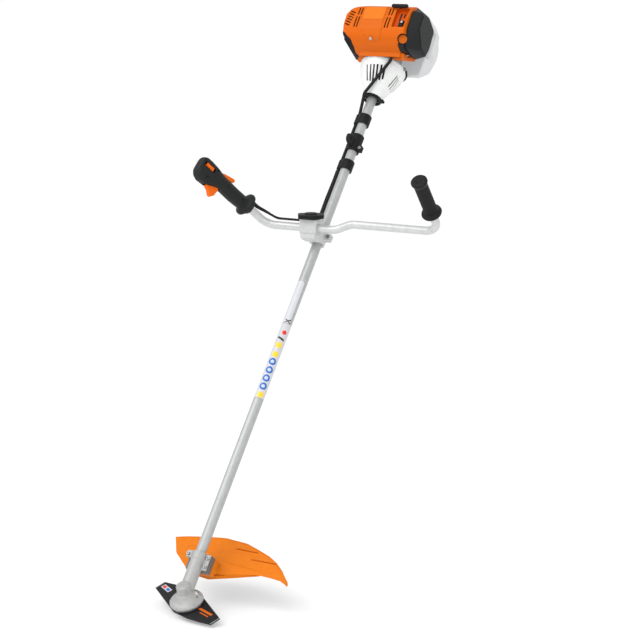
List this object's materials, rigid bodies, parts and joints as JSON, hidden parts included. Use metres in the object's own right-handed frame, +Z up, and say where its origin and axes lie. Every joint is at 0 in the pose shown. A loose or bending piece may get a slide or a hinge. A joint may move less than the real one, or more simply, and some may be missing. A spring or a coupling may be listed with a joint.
{
  "type": "brush cutter",
  "caption": "Petrol brush cutter with a two-handed bicycle handlebar, a two-tooth blade on a bevel gear head, a deflector guard and a rear engine.",
  "frame": {"origin": "centre of the carrying eyelet bore above the drive tube, where the harness hook holds the tool", "axes": "+Z up, -Y is the front where the cutting head points, +X is the operator's left; the drive tube rises to the rear in the Y-Z plane, leaning 40.3 degrees from the vertical"},
  "size_m": [0.6349, 1.2099, 1.408],
  "materials": {
    "tube_coat": "satin",
    "cast_grey": "fine cast, satin",
    "steel": "machined",
    "blade_coat": "satin black",
    "alloy": "cast",
    "muffler_steel": "heat dulled",
    "shoe_iron": "sintered",
    "orange_plastic": "satin",
    "orange_control": "gloss",
    "black_plastic": "fine grain",
    "cover_plastic": "fine grain",
    "rubber_black": "soft",
    "tank_plastic": "translucent, milky",
    "white_plastic": "smooth",
    "filter_felt": "felt"
  },
  "bodies": {
    "root": {"drive_tube": "tube_coat", "shaft_bushings": "black_plastic", "gear_head_housing": "cast_grey", "grease_plug": "white_plastic", "pinion_bearings": "steel", "output_bearings": "steel", "guard": "orange_plastic", "guard_bracket": "steel", "carrying_ring": "black_plastic", "cable_clips": "black_plastic", "handle_support": "cast_grey", "support_cap": "cast_grey", "throttle_cable": "rubber_black", "clutch_housing": "cast_grey", "vibration_bush": "rubber_black", "neck_clamp": "steel", "crankcase": "cast_grey", "engine_bearings": "steel", "cylinder": "alloy", "spark_plug": "white_plastic", "muffler": "muffler_steel", "muffler_guard": "black_plastic", "engine_shroud": "orange_plastic", "carburetor": "alloy", "air_filter_element": "filter_felt", "air_filter_cover": "cover_plastic", "fuel_tank": "tank_plastic", "starter_housing": "black_plastic", "machine_screws": "steel"},
    "drive": {"drive_shaft": "steel", "pinion_gear": "steel", "clutch_drum": "steel"},
    "blade": {"output_shaft": "steel", "crown_gear": "steel", "thrust_plate": "steel", "cutting_blade": "blade_coat", "rider_plate": "steel", "collar_nut": "steel"},
    "crank": {"crankshaft": "steel", "flywheel": "alloy", "clutch_shoes": "shoe_iron", "clutch_spring": "steel"},
    "piston": {"piston": "alloy", "piston_pin": "steel", "connecting_rod": "steel"},
    "jaws": {"lower_jaw": "cast_grey", "upper_jaw": "cast_grey"},
    "knob": {"clamp_knob": "black_plastic"},
    "bar": {"handlebar_tube": "tube_coat", "left_grip": "rubber_black", "control_handle": "black_plastic", "control_handle_cover": "black_plastic", "handle_cable": "rubber_black"},
    "trigger": {"throttle_trigger": "orange_control"},
    "lockout": {"trigger_lockout": "orange_control"},
    "switch": {"stop_switch": "orange_control"},
    "choke": {"choke_knob": "orange_control"},
    "puller": {"starter_grip": "black_plastic"},
    "pulley": {"starter_pulley": "black_plastic"},
    "cap": {"fuel_cap": "black_plastic"}
  },
  "joints": [
    {"name": "blade_spin", "type": "hinge", "parent": "root", "child": "blade", "pos_m": [0, -0.80884, -1.00941], "axis": [0, -0.3371, 0.9415], "continuous": true},
    {"name": "drive_spin", "type": "hinge", "parent": "root", "child": "drive", "pos_m": [0, -0.80884, -1.00941], "axis": [0, 0.6468, 0.7627], "continuous": true},
    {"name": "crank_spin", "type": "hinge", "parent": "root", "child": "crank", "pos_m": [0, 0.16134, 0.13459], "axis": [0, 0.6468, 0.7627], "continuous": true},
    {"name": "piston_slide", "type": "slide", "parent": "root", "child": "piston", "axis": [0, -0.7627, 0.6468], "range_m": [-0.025, 0]},
    {"name": "handlebar_swivel", "type": "hinge", "parent": "root", "child": "jaws", "pos_m": [0, -0.204, -0.21117], "axis": [0, 0, 1], "range_deg": [-50, 50]},
    {"name": "handlebar_tilt", "type": "hinge", "parent": "jaws", "child": "bar", "pos_m": [0, -0.204, -0.21117], "axis": [1, 0, 0], "range_deg": [-25, 25]},
    {"name": "clamp_knob_turn", "type": "hinge", "parent": "jaws", "child": "knob", "pos_m": [0, -0.204, -0.21117], "axis": [0, 0, 1], "range_deg": [0, 360]},
    {"name": "trigger_pull", "type": "hinge", "parent": "bar", "child": "trigger", "pos_m": [-0.21257, -0.34727, -0.08604], "axis": [0.919, -0.3006, 0.2549], "range_deg": [0, 15], "stiffness_Nm_per_rad": 0.3},
    {"name": "lockout_press", "type": "hinge", "parent": "bar", "child": "lockout", "pos_m": [-0.20413, -0.31297, -0.07602], "axis": [-0.919, 0.3006, -0.2549], "range_deg": [0, 12], "stiffness_Nm_per_rad": 0.2},
    {"name": "switch_slide", "type": "slide", "parent": "bar", "child": "switch", "axis": [-0.3918, -0.6256, 0.6747], "range_m": [-0.004, 0.004]},
    {"name": "choke_turn", "type": "hinge", "parent": "root", "child": "choke", "pos_m": [0.089, 0.12882, 0.25395], "axis": [0.3506, -0.9275, 0.1299], "range_deg": [0, 90]},
    {"name": "starter_pull", "type": "slide", "parent": "root", "child": "puller", "axis": [0, -0.7627, 0.6468], "range_m": [0, 0.5]},
    {"name": "pulley_spin", "type": "hinge", "parent": "root", "child": "pulley", "pos_m": [0, 0.25319, 0.24289], "axis": [0, 0.6468, 0.7627], "range_deg": [0, 1150]},
    {"name": "fuel_cap_turn", "type": "hinge", "parent": "root", "child": "cap", "pos_m": [-0.062, 0.3148, 0.20113], "axis": [-1, 0, 0], "range_deg": [0, 90]}
  ],
  "couplings": [
    {"joint": "drive_spin", "follows": "blade_spin", "ratio": 1.4},
    {"joint": "pulley_spin", "follows": "starter_pull", "rad_per_m": 40}
  ]
}
